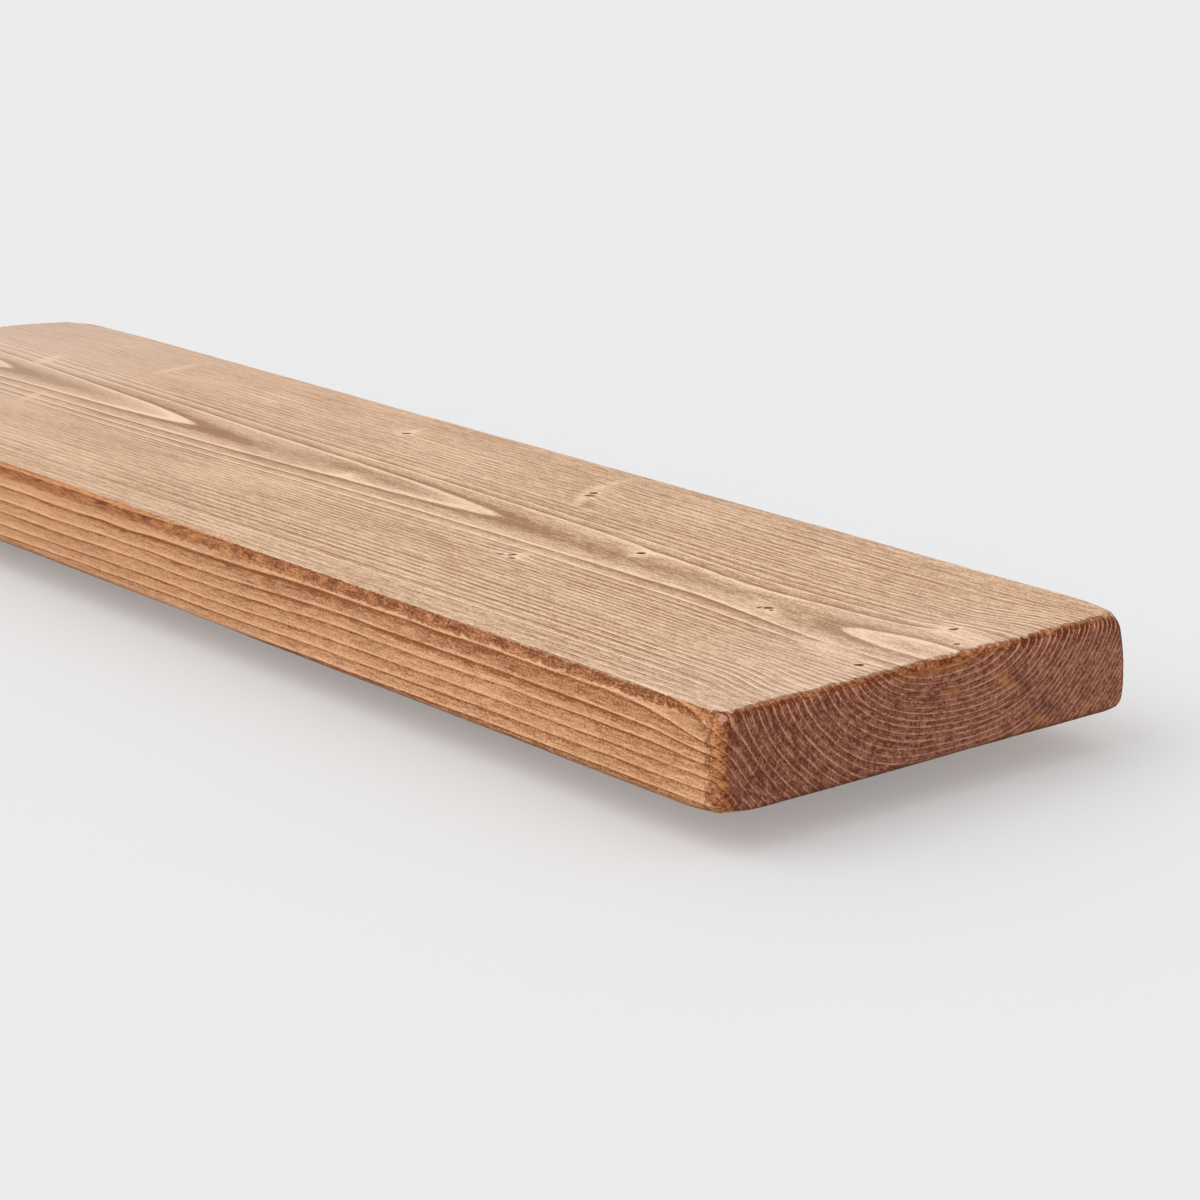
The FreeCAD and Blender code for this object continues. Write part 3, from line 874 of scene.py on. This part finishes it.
def blotchy_stain(wood, colour, fuzz):
    """The colour, with the front's upper strip and the end's upright and top arrises stained blotchily."""
    span, times = wood.span, wood.times
    x, stained = wood.x, wood.attribute("stain")
    by_end = span(x, 0.443, 0.449)
    near = wood.math("POWER", wood.crisp, 2.2)
    fine = times(near, span(by_end, 0, 1, 1.0, 0.6))
    blotch = wood.total(
        wood.math("MULTIPLY_ADD", wood.math("SUBTRACT", wood.pale, 0.45), 0.55, 0.42),
        times(wood.stray(pores=0.40, speck=0.40), fine),
        wood.stray(hairs=0.25),
        times(wood.stray(patch=0.55), near),
        span(x, -0.15, 0.3, 0.10, -0.16),
        times(span(x, 0.43, 0.449, 0.0, 0.20), span(wood.z, 0.021, 0.016)),
    )
    stain = wood.mix(wood.clamped(blotch), STAIN_DARK, wood.mix(by_end, STAIN_ORANGE, STAIN_RED))
    ragged = wood.total(wood.stray(patch=0.40, grit=0.30), fuzz)
    zone = wood.math("MULTIPLY_ADD", times(ragged, near), span(stained, 0, 0.3), stained)
    most = 0.88
    zone = span(zone, 0.15, 0.85, 0, most)
    by_border = times(zone, wood.math("SUBTRACT", most, zone), 2.8)
    border = times(by_border, span(x, -0.1, 0.3, 0, 1.2), span(wood.patch, 0.3, 0.55))
    return wood.mix(border, wood.mix(zone, colour, stain), STAIN_DARK)


def stained_softwood():
    """Brushed softwood with a brown stain, its knots, scratches and worn corner, with painted sheen on the
    top face and painted shade on the edges that turn away from the light.
    """
    wood = Wood("stained_softwood")
    hairs, end = wood.hairs, wood.end
    colour, tone, lines = long_grain(wood)
    fuzz = wood.stray(pores=0.22, grit=0.25)
    colour = wood.mix(wood.span(wood.total(end, fuzz), 0.2, 0.8), colour, end_grain(wood))
    colour = blotchy_stain(wood, colour, fuzz)
    # Painted shade on the edges that turn down and back, away from the light.
    colour = wood.mix(wood.attribute("painted_rim_shade"), colour, PAINTED_RIM_SHADE)
    scratch = wood.times(ovals(wood, "xz", SCRATCHES), wood.span(hairs, 0.35, 0.55, 0.1, 0.6))
    colour = wood.mix(scratch, colour, WORN)
    nick = wood.vector("LENGTH", wood.place((270, 380, 380), (0.4485, -0.2328, 0.0200)))
    nick = wood.total(wood.span(nick, 1.3, 0.3), wood.stray(pores=0.6))
    colour = wood.mix(wood.span(nick, 0.35, 1.0, 0, 0.75), colour, WORN)
    cores = knot_cores(wood)
    colour = wood.mix(cores, colour, KNOT_CORE)
    rough = wood.largest(wood.fade(tone, 0.58, 0.46), wood.times(end, 0.8), wood.times(cores, 0.9))
    hill = wood.total(
        wood.times(lines, wood.fade(wood.upward, 0.6, 0.28)),
        wood.times(wood.fibres, 0.25),
        wood.times(hairs, 0.22),
        wood.times(wood.speck, 0.22),
        wood.times(wood.pores, end, 0.9),
    )
    wood.bump(hill, 0.0002)
    return wood.finish(Base_Color=colour, Roughness=rough, IOR=1.46, Specular_IOR_Level=0.1)


def raw_softwood():
    """Unstained wood inside the machined recesses and bores."""
    tree = Tree("raw_softwood")
    _, pale = ring_lines(tree, tree.attribute("rings"))
    fibres, speck = tree.noise((40, 900, 900), 4, 0.6), tree.noise(1300, 3, 0.6)
    colour = tree.mix(tree.math("POWER", pale, 2.0), (0.76, 0.57, 0.37), (0.58, 0.34, 0.16))
    colour = tree.mix(tree.span(fibres, 0.35, 0.7, 0, 0.35), colour, (0.60, 0.40, 0.22))
    colour = tree.mix(tree.span(speck, 0.5, 0.75, 0, 0.35), colour, (0.42, 0.26, 0.13))
    tree.bump(tree.total(tree.times(fibres, 0.6), tree.times(speck, 0.5)), 0.0003)
    return tree.finish(Base_Color=colour, Roughness=tree.span(fibres, 0.3, 0.7, 0.72, 0.86))


# --- the brackets' materials ---

# Noise scales for lines along X, lines along Y and even grains.
LINES_X, LINES_Y, GRAINS = (30, 2500, 2500), (2500, 30, 2500), 900

# The heat tint's straw, purple and blue: reach in metres, colour and strength.
HEAT_RINGS = (
    (0.0205, (0.52, 0.40, 0.22), 0.45),
    (0.0150, (0.30, 0.19, 0.22), 0.4),
    (0.0120, (0.20, 0.22, 0.28), 0.5),
)


def metal(name, colour, shade_colour, roughness, grain, heated=False):
    """Brushed, drawn or plain steel with faint clouds and, where asked, heat tint by the weld."""
    tree = Tree(name)
    lines, spots = tree.noise(grain, 3, 0.6), tree.noise(420, 3)
    tint = tree.mix(tree.span(tree.noise(45, 4, 0.6), 0.35, 0.7), colour, shade_colour)
    tint = tree.mix(tree.span(spots, 0.62, 0.74, 0, 0.35), tint, tuple(0.4 * c for c in shade_colour))
    if heated:
        tint = heat_tint(tree, tint)
    tree.bump(tree.total(lines, tree.times(spots, 0.4)), 0.00004)
    rough = tree.span(lines, 0.3, 0.7, roughness - 0.07, roughness + 0.1)
    return tree.finish(Base_Color=tint, Roughness=rough, Metallic=1.0)


def heat_tint(tree, tint):
    """Rings of colour left by welding, read by the distance from the nearest rod's foot."""
    half = SPACING / 2 / MM
    spot = tree.vector("WRAP", tree.place(), (half, 1, 1), (-half, -1, -1))
    away = tree.vector("LENGTH", tree.vector("SUBTRACT", spot, (0, -PLATE_DEPTH / MM, 0)))
    away = tree.total(away, tree.span(tree.noise(150), 0.3, 0.7, -0.0015, 0.0015))
    for reach, colour, amount in HEAT_RINGS:
        tint = tree.mix(tree.span(away, reach, reach - 0.003, 0, amount), tint, colour)
    return tint


def nylon(name):
    """Moulded grey nylon."""
    tree = Tree(name)
    grain = tree.noise(2600)
    colour = tree.mix(tree.span(tree.noise(120, 3), 0.35, 0.65), (0.27, 0.28, 0.29), (0.34, 0.35, 0.36))
    tree.bump(grain, 0.00003)
    rough = tree.span(grain, 0.3, 0.7, 0.42, 0.55)
    return tree.finish(Base_Color=colour, Roughness=rough, Subsurface_Weight=0.05)


# --- the brackets ---


def plate_mesh():
    """A steel flat with chamfered front edges and two countersunk holes."""
    depth, chamfer = PLATE_DEPTH, PLATE_CHAMFER
    outline = rounded_outline(PLATE_LENGTH, PLATE_HEIGHT, PLATE_CORNER)
    inset = rounded_outline(PLATE_LENGTH - 2 * chamfer, PLATE_HEIGHT - 2 * chamfer, PLATE_CORNER - chamfer)
    rows = [(outline, 0.0), (outline, chamfer - depth), (inset, -depth)]
    points = [(x, y, z) for ring, y in rows for x, z in ring]
    faces = grid_faces(len(rows), len(outline), closed=True)
    faces += [tuple(range(len(outline))), tuple(range(2 * len(outline), 3 * len(outline)))]
    plate = solid("plate_pattern", points, faces)

    # The holes' cutters stand out 1 mm behind the plate and 0.5 mm before it.
    hole, mouth, over = SCREW_HOLE_RADIUS, COUNTERSINK_RADIUS, 0.5
    profile = [(0, 1), (hole, 1), (hole, mouth - hole - depth)]
    profile += [(mouth + over, -depth - over), (0, -depth - over)]
    cut(plate, turned_row("holes", profile, SCREWS))
    shade(plate.data, 30)
    return plate


def rod_mesh():
    """A round steel rod with a chamfered tip."""
    profile = [(0, -PLATE_DEPTH), (ROD_RADIUS, -PLATE_DEPTH)]
    profile += [(ROD_RADIUS, -y) for y in np.linspace(10, ROD_TIP - ROD_CHAMFER, 12)]
    profile += [(ROD_RADIUS - ROD_CHAMFER, -ROD_TIP), (0, -ROD_TIP)]
    return turned_mesh("rod_pattern", profile, segments=72, smooth_angle=30)


def weld_mesh():
    """A ring of weld laid in short overlapping ripples."""
    around, across, ripples = 288, 14, 26
    foot, leg = PLATE_DEPTH, WELD_LEG - 0.1
    points = []
    for step in range(around):
        angle = 2 * math.pi * step / around
        ripple = (step * ripples / around) % 1
        swell = 0.10 * math.sin(math.pi * ripple) ** 0.6 + 0.05 * math.sin(3 * angle + 1)
        for part in range(across):
            t = part / (across - 1)
            arch = math.sin(math.pi * t)
            bulge = 0.7 * (0.30 + swell) * arch * (1 - 0.12 * arch) - 0.02
            radius, depth = ROD_RADIUS + leg * (1 - t) + bulge, foot + leg * t + bulge
            points.append((radius * math.sin(angle), -depth, radius * math.cos(angle)))
    inside, back = ROD_RADIUS - 0.05, foot - 0.02
    points += circles([(inside, -foot - WELD_LEG), (inside, -back), (ROD_RADIUS + WELD_LEG, -back)], around)
    rings = [[s * across + part for s in range(around)] for part in range(across)]
    rings += [[(across + ring) * around + s for s in range(around)] for ring in range(3)]
    faces = []
    for one, two in zip(rings, rings[1:] + rings[:1]):
        faces += zip(one, one[1:] + one[:1], two[1:] + two[:1], two)
    return solid("weld_pattern", points, faces, smooth_angle=45)


def screw_mesh():
    """A countersunk wood screw: cross recess, plain neck, coarse thread and a sharp point."""
    head_face, length, thread_from = -3.8, 60.0, 20.0
    segments, pitch = 36, 2.6
    crest, root, neck = 2.5, 1.62, 1.8
    rows = [(4.45, 0.0), (4.6, 0.12), (1.95, 2.75), (neck, 3.1)]
    depths = np.concatenate([[4.0, 12.0], np.arange(thread_from, length, pitch / 9)])
    points = circles(rows, segments)
    for y in depths:
        taper = min(1.0, (length - y) / 7.0)
        grown = min(1.0, max(0.0, (y - thread_from) / 3.0))
        core = (neck + (root - neck) * grown) * taper
        for a in np.linspace(0, 2 * math.pi, segments, endpoint=False):
            turn = ((y - thread_from) / pitch - a / (2 * math.pi)) % 1
            rise = max(0.0, 1 - abs(turn - 0.5) / 0.24)
            radius = core + (crest - root) * rise * grown * min(1.0, taper * 1.35)
            points.append((radius * math.sin(a), y, radius * math.cos(a)))
    count = len(rows) + len(depths)
    points.append((0, length, 0))
    faces = grid_faces(count, segments, closed=True) + [tuple(range(segments))]
    faces += fan((count - 1) * segments, segments, len(points) - 1)
    screw = solid("screw_pattern", points, faces, smooth_angle=45)

    # The cross recess: two tapered arms.
    wide, deep, reach, tip, over = 0.55, 2.2, 2.2, 0.4, 0.5
    right = [(reach, -over), (reach, 0.0), (0.75 * reach, 0.75 * deep), (tip, deep)]
    shape = [(-reach, -over)] + right + [(-x, y) for x, y in right[:0:-1]]
    corners = [(x, y, side * wide) for side in (-1, 1) for x, y in shape]
    size = len(shape)
    sides = grid_faces(2, size, closed=True) + [tuple(range(size)), tuple(range(size, 2 * size))]
    for turn in (0, 90):
        arm = solid("arm", corners, sides)
        arm.data.transform(Euler((0, math.radians(turn), 0)).to_matrix().to_4x4())
        cut(screw, arm)
    move(screw, y=head_face)
    shade(screw.data, 40)
    return screw


def plug_mesh():
    """A slit nylon plug: a smooth collar, then barbed legs that the screw holds apart."""
    segments, inner, length, mouth_depth = 64, 2.6, 40.0, 3.0
    rows = [(3.75, 0.0), (3.98, 0.35), (3.98, 8.6), (3.5, 9.2)]
    for tooth in range(7):
        y = 10.6 + 3.7 * tooth
        rows += [(3.4, y), (3.96, y + 0.15), (3.96, y + 0.7), (3.45, y + 3.0)]
    rows += [(3.4, 36.8), (2.95, 39.7), (2.75, length)]
    rows += [(inner, length), (inner, 20.0), (inner, 0.5), (inner + 0.3, 0.0)]
    points = circles(rows, segments)
    faces = grid_faces(len(rows) + 1, segments, closed=True)
    faces = [tuple(i % len(points) for i in face) for face in faces]
    plug = solid("plug_pattern", points, faces, smooth_angle=30)
    for half_x, half_z, start in ((0.6, 6.0, 9.0), (6.0, 0.45, 14.0)):
        corners = [(x, y, z) for x in (-half_x, half_x) for y in (start, 45.0) for z in (-half_z, half_z)]
        sides = [(0, 1, 3, 2), (4, 6, 7, 5), (0, 4, 5, 1), (2, 3, 7, 6), (0, 2, 6, 4), (1, 5, 7, 3)]
        cut(plug, solid("slit", corners, sides))
    move(plug, y=mouth_depth)
    shade(plug.data, 30)
    return plug


def copy_piece(pattern, node, ending, along, material):
    """A copy of a pattern mesh in its place along the wall, standing for its CAD node."""
    thing = add_object(f"{node}_{ending}", pattern.data.copy())
    move(thing, x=along)
    thing.data.materials.clear()
    thing.data.materials.append(material)
    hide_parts(node)
    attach(thing, "wall_brackets")


def make_brackets():
    """The three brackets, their screws and their plugs, each kind made once and copied."""
    plate_steel = metal("bracket_steel", (0.60, 0.61, 0.62), (0.45, 0.46, 0.48), 0.36, LINES_X, heated=True)
    rod_steel = metal("rod_steel", (0.55, 0.55, 0.55), (0.40, 0.39, 0.38), 0.30, LINES_Y, heated=True)
    weld_steel = metal("weld_steel", (0.26, 0.25, 0.24), (0.12, 0.11, 0.12), 0.42, GRAINS)
    zinc = metal("zinc_plate", (0.72, 0.66, 0.46), (0.60, 0.55, 0.42), 0.28, GRAINS)
    grey = nylon("grey_nylon")
    patterns = [make() for make in (plate_mesh, rod_mesh, weld_mesh, screw_mesh, plug_mesh)]
    plate, rod, weld, screw, plug = patterns
    for place, along in BRACKETS:
        copy_piece(plate, f"bracket_plate_{place}", "steel", along, plate_steel)
        copy_piece(rod, f"support_rod_{place}", "steel", along, rod_steel)
        copy_piece(weld, f"rod_weld_{place}", "steel", along, weld_steel)
        for number, aside in SCREWS:
            at = along + aside
            copy_piece(screw, f"wall_screw_{place}_{number}", "zinc", at, zinc)
            copy_piece(plug, f"wall_plug_{place}_{number}", "nylon", at, grey)
    for pattern in patterns:
        bpy.data.objects.remove(pattern)


# --- floor, light and camera ---

FLOOR_DROP, FLOOR_REACH = 18.0, 40000.0
PALE = (0.82, 0.82, 0.825)
SHADOW_LIFT = 0.32  # how much of the floor's shadow the camera does not see
SUN_WIDTH = 55


def make_floor():
    """A plain pale floor that keeps the shelf's shadow; the camera sees the shadow lightened."""
    sides = ((-1, -1), (1, -1), (1, 1), (-1, 1))
    corners = [(x * FLOOR_REACH, y * FLOOR_REACH, BOTTOM - FLOOR_DROP) for x, y in sides]
    floor = new_object("floor", corners, [(0, 1, 2, 3)])
    tree = Tree("pale_floor")
    pale = tree.mix(tree.noise(6, 5, 0.6), tuple(0.985 * c for c in PALE), PALE)
    floor.data.materials.append(tree.finish(Base_Color=pale, Roughness=1.0, Specular_IOR_Level=0.0))
    tree.show_camera(tree.node("ShaderNodeEmission", {"Color": pale}), SHADOW_LIFT)


def make_lamp(name, toward, energy):
    """A broad sun that stands in this direction."""
    lamp = bpy.data.lights.new(name, "SUN")
    lamp.energy, lamp.angle = energy, math.radians(SUN_WIDTH)
    add_object(name, lamp).rotation_euler = Vector(toward).to_track_quat("Z", "Y").to_euler()


def make_light():
    """Even studio light, with a soft key from the front and the left and a low window behind on the left."""
    tree = Tree("soft_studio", "worlds")
    bpy.context.scene.world = tree.finish(Color=(1.0, 1.0, 1.0), Strength=0.74)
    tree.show_camera(tree.node("ShaderNodeBackground", {"Color": PALE}), 1.0)
    make_lamp("key", (-0.35, -0.60, 0.72), 1.15)
    make_lamp("window", (-0.90, 0.40, 0.20), 0.55)


def make_camera():
    """The photo's camera, fitted to the board's outline."""
    lens = bpy.data.cameras.new("camera")
    lens.sensor_width, lens.lens, lens.clip_end = 36.0, 103.859, 200.0
    camera = add_object("camera", lens)
    camera.location = (1.43842, -1.09276, 0.43519)
    camera.rotation_euler = Euler((1.2983933, 0.0064717, 0.8907481))
    bpy.context.scene.camera = camera


make_board()
make_brackets()
make_floor()
make_light()
make_camera()
bpy.context.scene.view_settings.view_transform = "Standard"
